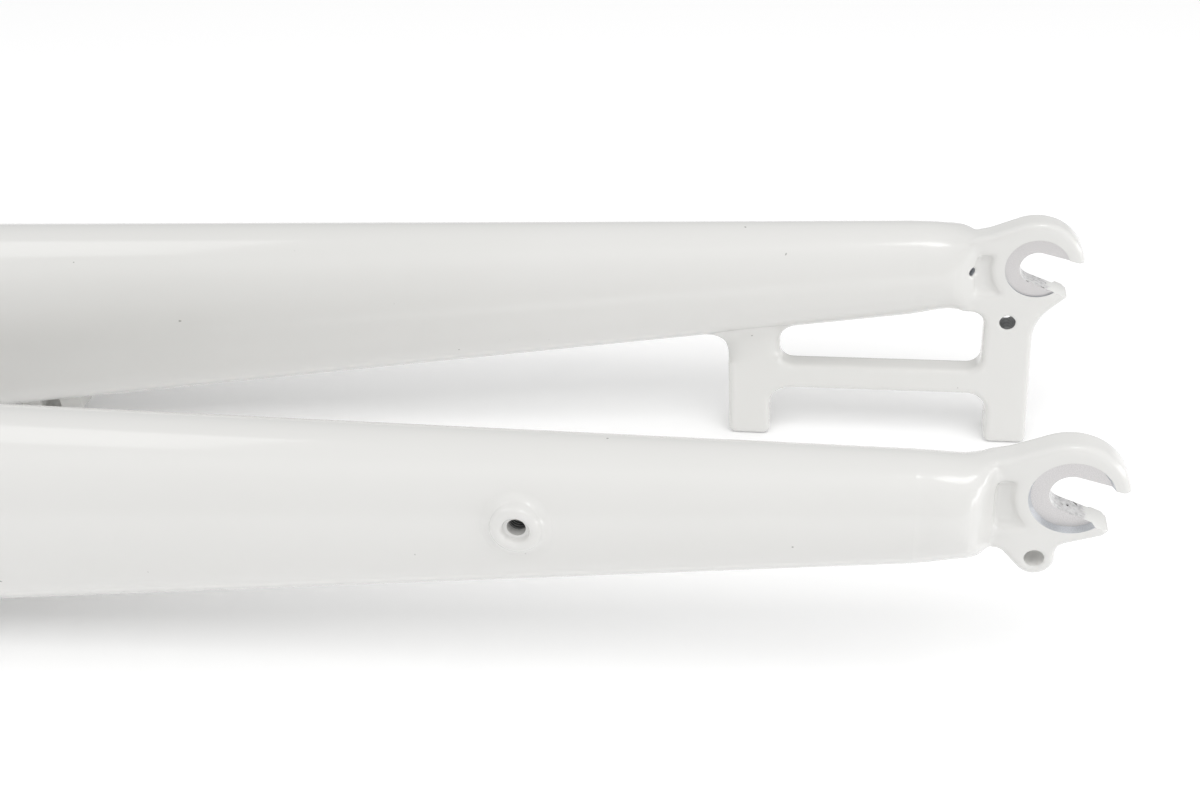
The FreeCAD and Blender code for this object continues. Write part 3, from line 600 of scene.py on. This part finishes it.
def eased_at(obj, passes, wanted):
    """Ease a skin further where a test on millimetres about the axle picks its points."""
    chosen = obj.vertex_groups.new(name="eased")
    chosen.add([v.index for v in obj.data.vertices if wanted((v.co - AXLE) / MM)], 1.0, "REPLACE")
    ease = obj.modifiers.new("ease", "SMOOTH")
    ease.factor = EASE_FACTOR
    ease.iterations = passes
    ease.vertex_group = chosen.name
    settle(obj)
    obj.vertex_groups.clear()


def blade_tool(side, first, last, grow=CLEARANCE):
    """The blade's own room, taken out of a piece that sits on it."""
    bm = bmesh.new()
    oval_bar(bm, first, last, side, grow)
    return object_of("blade_tool", bm, [PAINT])


# Dropouts: fillers and rooms along the blade, and where their skins are eased, in millimetres
SHOULDER_FILL = {LEFT: (33.8, 112.0), RIGHT: (33.8, 52.0)}
SHOULDER_ROOM = {LEFT: (34.0, 118.0), RIGHT: (34.0, 56.0)}
CLAMP_FILL = (-0.4, 0.2)
CLAMP_FILL_RADIUS = 11.3
DROPOUT_GRAIN = 0.36
DROPOUT_PASSES = 10
NECK_X = (-22.0, -8.0)
NECK_Z = (-11.0, 6.0)
NECK_PASSES = 50
POST_ROOT_X = (-100.0, -60.0)
POST_ROOT_REACH = 9.0
POST_CORE = 3.6
POST_CORE_REACH = 4.0
POST_ROOT_PASSES = 1000


def slot_tool(side):
    """The axle slot: the axle's round and two flaring walls."""
    bm = bmesh.new()
    near = side * (INNER_FACE - PAST_FACE)
    far = side * (OUTER_FACE + PAST_FACE)
    round_bar(bm, (0.0, near, 0.0), (0.0, far, 0.0), SLOT_RADIUS, SLOT_RADIUS, TOOL_SEGMENTS)
    for turn in (SLOT_FLARE, -SLOT_FLARE):
        angle = math.radians(turn - SLOT_ANGLE)
        quarter = math.copysign(math.pi / 2, turn)
        x = SLOT_RADIUS * math.cos(angle + quarter) + SLOT_LENGTH * math.cos(angle)
        z = SLOT_RADIUS * math.sin(angle + quarter) + SLOT_LENGTH * math.sin(angle)
        for y in (near, far):
            bm.verts.new(at_axle(x, y, z))
    hull = bmesh.ops.convex_hull(bm, input=bm.verts[:])
    bmesh.ops.delete(bm, geom=hull["geom_interior"] + hull["geom_unused"], context="VERTS")
    bmesh.ops.dissolve_limit(bm, angle_limit=math.radians(SLOT_MERGE_ANGLE), verts=bm.verts[:],
                             edges=bm.edges[:])
    for face in bm.faces:
        face.material_index = DROPOUT_FINISHES.index(SLOT)
    return object_of("slot_tool", bm, DROPOUT_FINISHES)


def spot_face_tool(mouth, floor, mouth_radius):
    """A cutter for a clamp face: a bare floor, and a wall in a bluish-grey copy of the bare metal that
    paints its shade.
    """
    bm = bmesh.new()
    round_bar(bm, (0.0, floor, 0.0), (0.0, mouth, 0.0), CLAMP_FACE_RADIUS, mouth_radius, FACE_SEGMENTS)
    for face in bm.faces:
        finish = FACED if abs(face.normal.y) > FLAT_FACE else PAINTED_SHADE_ALLOY
        face.material_index = DROPOUT_FINISHES.index(finish)
    return object_of("spot_face_tool", bm, DROPOUT_FINISHES)


def hub_face_tool(side):
    """The shallow inner face for the hub."""
    return spot_face_tool(side * (INNER_FACE - PAST_FACE), side * (INNER_FACE + HUB_FACE_DEPTH),
                          CLAMP_FACE_RADIUS)


def nut_recess_tool(side):
    """The sunk outer face for the axle's nut, with a sloping wall."""
    slope = (NUT_RECESS_MOUTH - CLAMP_FACE_RADIUS) / NUT_RECESS_DEPTH
    return spot_face_tool(side * (OUTER_FACE + PAST_RECESS), side * (OUTER_FACE - NUT_RECESS_DEPTH),
                          NUT_RECESS_MOUTH + slope * PAST_RECESS)


def vent_tool(side):
    """The vent drilled slantwise from the pocket of the inner face into the blade's hollow end."""
    x, y, z = VENT_MOUTH
    mouth = Vector((x, side * y, z))
    run = Vector((-math.cos(VENT_ANGLE), side * math.sin(VENT_ANGLE), 0.0))
    # The vent's wall takes the bluish-grey alloy that paints its shade
    return bar_tool(VENT_RADIUS, mouth, mouth + run * VENT_LENGTH, PAINTED_SHADE_ALLOY)


def eyelet_tool(side):
    """The mudguard's eyelet, threaded on the left and painted through on the right."""
    return bar_tool(EYELET_RADIUS, across(EYELET, side * (INNER_FACE - PAST_HOLE)),
                    across(EYELET, side * (OUTER_FACE + PAST_HOLE)),
                    THREAD_ACROSS if side == LEFT else PAINT)


def post_tool(x):
    """The thread of a brake post, from its foot."""
    return bar_tool(POST_THREAD_RADIUS, (x, POST_MIDDLE, -POST_DROP - PAST_THREAD),
                    (x, POST_MIDDLE, -POST_DROP + POST_THREAD_DEPTH), THREAD_UPRIGHT)


def in_the_neck(point):
    """Whether a point belongs to the hollows between the blade's domed end and the clamp faces."""
    return NECK_X[0] < point.x < NECK_X[1] and NECK_Z[0] < point.z < NECK_Z[1]


def at_the_post_root(point):
    """Whether a point belongs to the dressed weld between the upper post and the blade."""
    drop, depth = blade_oval(-point.x)[2:4]
    reach = POST_ROOT_REACH if abs(point.y - POST_MIDDLE) > POST_CORE else POST_CORE_REACH
    return POST_ROOT_X[0] < point.x < POST_ROOT_X[1] and abs(point.z + drop + depth) < reach


def dropout(side, word):
    """One dropout; the left one carries the brake's posts."""
    bm = merged_copy(word + "_dropout")
    oval_bar(bm, *SHOULDER_FILL[side], side)
    round_bar(bm, across(CLAMP_FILL, side * (INNER_FACE + CLEARANCE)),
              across(CLAMP_FILL, side * (OUTER_FACE - CLEARANCE)),
              CLAMP_FILL_RADIUS, CLAMP_FILL_RADIUS, FILLER_SEGMENTS)
    obj = softened(word + "_dropout_forging", bm, DROPOUT_GRAIN, DROPOUT_PASSES, DROPOUT_FINISHES)
    eased_at(obj, NECK_PASSES, in_the_neck)
    tools = [blade_tool(side, *SHOULDER_ROOM[side]), nut_recess_tool(side), hub_face_tool(side),
             vent_tool(side), slot_tool(side), eyelet_tool(side)]
    if side == LEFT:
        eased_at(obj, POST_ROOT_PASSES, at_the_post_root)
        tools += [post_tool(x) for x in POSTS]
    cut_with(obj, *tools)
    set_piece(obj, [word + "_dropout"])


# Crown: one softened forging with a bored barrel, and the turned seat of the headset race
CROWN_FILL = (318.0, 340.0)
CROWN_ROOM = (310.0, 338.0)
CROWN_GRAIN = 0.8
CROWN_PASSES = 8


def bolt_tool():
    """The mudguard bolt's hole through the crown and the steerer."""
    middle = RACE_FOOT - STEERER_UP * (BARREL_HEIGHT / 2)
    return bar_tool(BOLT_RADIUS, middle - FORK_FRONT * PAST_BOLT, middle + FORK_FRONT * PAST_BOLT, FACED)


def crown():
    """The crown with its bore, the bolt's hole and room for both blades."""
    bm = merged_copy("fork_crown")
    for side in (LEFT, RIGHT):
        oval_bar(bm, *CROWN_FILL, side)
    obj = softened("crown_forging", bm, CROWN_GRAIN, CROWN_PASSES, [PAINT, FACED])
    foot = RACE_FOOT - STEERER_UP * (BARREL_HEIGHT + PAST_BORE_FOOT)
    head = RACE_FOOT + STEERER_UP * PAST_BORE_HEAD
    cut_with(obj, blade_tool(LEFT, *CROWN_ROOM), blade_tool(RIGHT, *CROWN_ROOM),
             bar_tool(CROWN_BORE_RADIUS, foot, head, FACED), bolt_tool())
    set_piece(obj, ["fork_crown"])


def turned(name, outline, finishes):
    """A turned piece about the steerer's axis, from an outline in millimetres."""
    bm = bmesh.new()
    base = at_axle(*RACE_FOOT)
    points = [bm.verts.new(base + STEERER_UP * (h * MM) + FORK_FRONT * (r * MM)) for r, h in outline]
    for first, last in zip(points, points[1:] + points[:1]):
        bm.edges.new((first, last))
    bmesh.ops.spin(bm, geom=bm.verts[:] + bm.edges[:], cent=base, axis=STEERER_UP, angle=2 * math.pi,
                   steps=TURNED_STEPS, use_merge=True)
    bmesh.ops.remove_doubles(bm, verts=bm.verts[:], dist=TURNED_MERGE * MM)
    bmesh.ops.recalc_face_normals(bm, faces=bm.faces[:])
    return object_of(name, bm, finishes)


def steerer():
    """The steerer with a step at the crown, chamfered top and the mudguard bolt's hole."""
    obj = turned("steerer_drawn_tube", STEERER_OUTLINE, [DRAWN, FACED])
    cut_with(obj, bolt_tool())
    set_piece(obj, ["steerer_tube"])


def race_seat():
    """The bright turned seat on top of the crown's barrel."""
    set_piece(turned("crown_race_seat", RACE_OUTLINE, [FACED]))


# Rack bosses: painted inserts that flow into the blade, each with a threaded hole
BOSS_FILL = 11.0
BOSS_ROOM = 14.0
BOSS_GRAIN = 0.25
BOSS_PASSES = 10
BOSS_FACE_PASSES = 60
BOSS_FOOT_PASSES = 300
BOSS_LAST_PASSES = 16


def off_the_boss(point):
    """How far a point lies from the boss's axis."""
    return math.hypot(point.x + BOSS_DISTANCE, point.z + BOSS_DROP)


def above_the_blade(point):
    """How far a point stands out of the blade's side."""
    spread, drop, depth, width = blade_oval(-point.x)[1:]
    return (math.hypot((abs(point.y) - spread) / width, (point.z + drop) / depth) - 1) * width


def outside_the_mouth(point):
    """Whether a point lies clear of the boss's hole."""
    return off_the_boss(point) > BOSS_MOUTH


def at_the_boss_foot(point):
    """Whether a point belongs to the skirt of paint between the boss and the blade."""
    return off_the_boss(point) > BOSS_SHANK and above_the_blade(point) < BOSS_FOOT


def boss(side, word):
    """One rack boss, its hole painted at the mouth and threaded below."""
    seat = boss_seat(side)
    out = OUTWARD * side
    bm = merged_copy(word + "_rack_boss")
    oval_bar(bm, BOSS_DISTANCE - BOSS_FILL, BOSS_DISTANCE + BOSS_FILL, side)
    obj = softened(word + "_rack_insert", bm, BOSS_GRAIN, BOSS_PASSES, DROPOUT_FINISHES)
    eased_at(obj, BOSS_FACE_PASSES, outside_the_mouth)
    eased_at(obj, BOSS_FOOT_PASSES, at_the_boss_foot)
    eased_at(obj, BOSS_LAST_PASSES, outside_the_mouth)
    room = blade_tool(side, BOSS_DISTANCE - BOSS_ROOM, BOSS_DISTANCE + BOSS_ROOM, BOSS_CLEARANCE)
    shank = bar_tool(BOSS_SHANK - CLEARANCE, seat + out * PAST_FLANGE, seat - out * BOSS_REACH, PAINT)
    cut_with(room, shank)
    thread = bar_tool(BOSS_THREAD_RADIUS, seat - out * (BOSS_REACH + PAST_THREAD), seat - out * BOSS_PAINT,
                      THREAD_ACROSS)
    mouth = bar_tool(BOSS_THREAD_RADIUS, seat - out * (BOSS_PAINT + THREAD_LAP), seat + out * BOSS_RISE,
                     PAINT)
    cut_with(obj, room, thread, mouth)
    set_piece(obj, [word + "_rack_boss"], BOSS_EDGE_ANGLE)


# Hose guide: a softened bridge on the back of the left blade
GUIDE_ROOM = 4.0
GUIDE_GRAIN = 0.4
GUIDE_PASSES = 5


def guide():
    """The bridge that holds the brake's hose."""
    bm = merged_copy("hose_guide")
    oval_bar(bm, *GUIDE_SPAN, LEFT)
    obj = softened("hose_guide_bridge", bm, GUIDE_GRAIN, GUIDE_PASSES, [PAINT])
    cut_with(obj, blade_tool(LEFT, GUIDE_SPAN[0] - GUIDE_ROOM, GUIDE_SPAN[1] + GUIDE_ROOM))
    set_piece(obj, ["hose_guide"])


for side, word in SIDES:
    blade(side, word)
    dropout(side, word)
    boss(side, word)
crown()
steerer()
race_seat()
guide()

# Stage, light and camera, in metres
FLOOR_SIZE = 6.0
FLOOR_WHITE = 0.97
# Painted contact shadow on the floor: the grey its colour darkens to beside the fork
PAINTED_SHADOW_GREY = 0.78
FLOOR_ROUGHNESS = 0.9
FLOOR_GLOW = 0.16
# Painted contact shadow: how far the occlusion looks, and the occlusion at which the painted shade is full
# and where it ends
PAINTED_SHADOW_REACH = 0.05
PAINTED_SHADOW_FULL = 0.2
PAINTED_SHADOW_NONE = 0.85
WORLD_LIGHT = 0.57
WORLD_SEEN = 1.0
CAMERA_PLACE = (0.27312, -0.35635, 0.27207)
CAMERA_TURN = (57.388, 3.173, 8.703)
CAMERA_LENS = 48.94
CAMERA_SENSOR = 36.0
CAMERA_NEAREST = 0.01


def white_floor():
    """A white sweep that stays white to the camera and keeps the fork's soft shadow, with a painted
    contact shadow: to the camera its colour darkens where ambient occlusion finds the fork near.
    """
    finish, tree, shader = new_finish("white_floor")[:3]
    shader.inputs["Roughness"].default_value = FLOOR_ROUGHNESS
    shader.inputs["Specular IOR Level"].default_value = 0.0
    rays = tree.nodes.new("ShaderNodeLightPath")
    # Painted contact shadow: the camera sees the floor's colour darkened by ambient occlusion near the
    # fork
    sky = tree.nodes.new("ShaderNodeAmbientOcclusion")
    sky.inputs["Distance"].default_value = PAINTED_SHADOW_REACH
    painted_contact_shadow = greys(tree, sky.outputs["AO"], (PAINTED_SHADOW_FULL, PAINTED_SHADOW_GREY), (PAINTED_SHADOW_NONE, FLOOR_WHITE))
    white = mixed(tree, rays.outputs["Is Camera Ray"], grey(FLOOR_WHITE), painted_contact_shadow)
    tree.links.new(white, shader.inputs["Base Color"])
    glow = tree.nodes.new("ShaderNodeEmission")
    seen = reckoned(tree, "MAXIMUM", rays.outputs["Is Camera Ray"], rays.outputs["Is Glossy Ray"])
    tree.links.new(reckoned(tree, "MULTIPLY", seen, FLOOR_GLOW), glow.inputs["Strength"])
    both = tree.nodes.new("ShaderNodeAddShader")
    tree.links.new(shader.outputs["BSDF"], both.inputs[0])
    tree.links.new(glow.outputs["Emission"], both.inputs[1])
    tree.links.new(both.outputs["Shader"], tree.nodes["Material Output"].inputs["Surface"])
    bm = bmesh.new()
    bmesh.ops.create_grid(bm, x_segments=1, y_segments=1, size=FLOOR_SIZE)
    floor = object_of("floor", bm, [finish])


def studio_world():
    """Soft white surroundings, plain white to the camera."""
    world = bpy.data.worlds.new("studio")
    bpy.context.scene.world = world
    world.use_nodes = True
    tree = world.node_tree
    back = tree.nodes["Background"]
    back.inputs["Color"].default_value = grey(1.0)
    rays = tree.nodes.new("ShaderNodeLightPath")
    seen = reckoned(tree, "MAXIMUM", rays.outputs["Is Camera Ray"], rays.outputs["Is Transmission Ray"])
    span = tree.nodes.new("ShaderNodeMapRange")
    span.inputs["To Min"].default_value = WORLD_LIGHT
    span.inputs["To Max"].default_value = WORLD_SEEN
    tree.links.new(seen, span.inputs["Value"])
    tree.links.new(span.outputs["Result"], back.inputs["Strength"])


def softbox(name, place, aim, width, depth, energy, mirrored=True):
    """A rectangular lamp that looks at a point, and may be left out of the gloss."""
    lamp = bpy.data.lights.new(name, "AREA")
    lamp.shape = "RECTANGLE"
    lamp.size = width
    lamp.size_y = depth
    lamp.energy = energy
    obj = bpy.data.objects.new(name, lamp)
    bpy.context.scene.collection.objects.link(obj)
    obj.location = place
    obj.rotation_euler = (Vector(aim) - Vector(place)).to_track_quat("-Z", "Y").to_euler()
    obj.visible_glossy = mirrored


def camera():
    """The photograph's own viewpoint."""
    lens = bpy.data.cameras.new("camera")
    lens.lens = CAMERA_LENS
    lens.sensor_width = CAMERA_SENSOR
    lens.clip_start = CAMERA_NEAREST
    obj = bpy.data.objects.new("camera", lens)
    bpy.context.scene.collection.objects.link(obj)
    obj.location = CAMERA_PLACE
    obj.rotation_euler = [math.radians(angle) for angle in CAMERA_TURN]
    bpy.context.scene.camera = obj


white_floor()
studio_world()
softbox("left_softbox", place=(-0.45, 0.10, 0.80), aim=(0.0, 0.0, 0.05),
        width=0.46, depth=0.50, energy=0.8)
softbox("right_softbox", place=(0.46, -0.17, 0.80), aim=(0.30, -0.05, 0.05),
        width=0.32, depth=0.16, energy=0.6)
softbox("top_softbox", place=(0.20, -0.62, 1.18), aim=(0.10, 0.22, 0.03),
        width=2.2, depth=0.6, energy=8.0, mirrored=False)
softbox("right_fill", place=(0.95, -0.12, 0.09), aim=(0.25, 0.02, 0.03),
        width=0.8, depth=0.16, energy=1.2)
camera()
bpy.context.scene.view_settings.view_transform = "Standard"
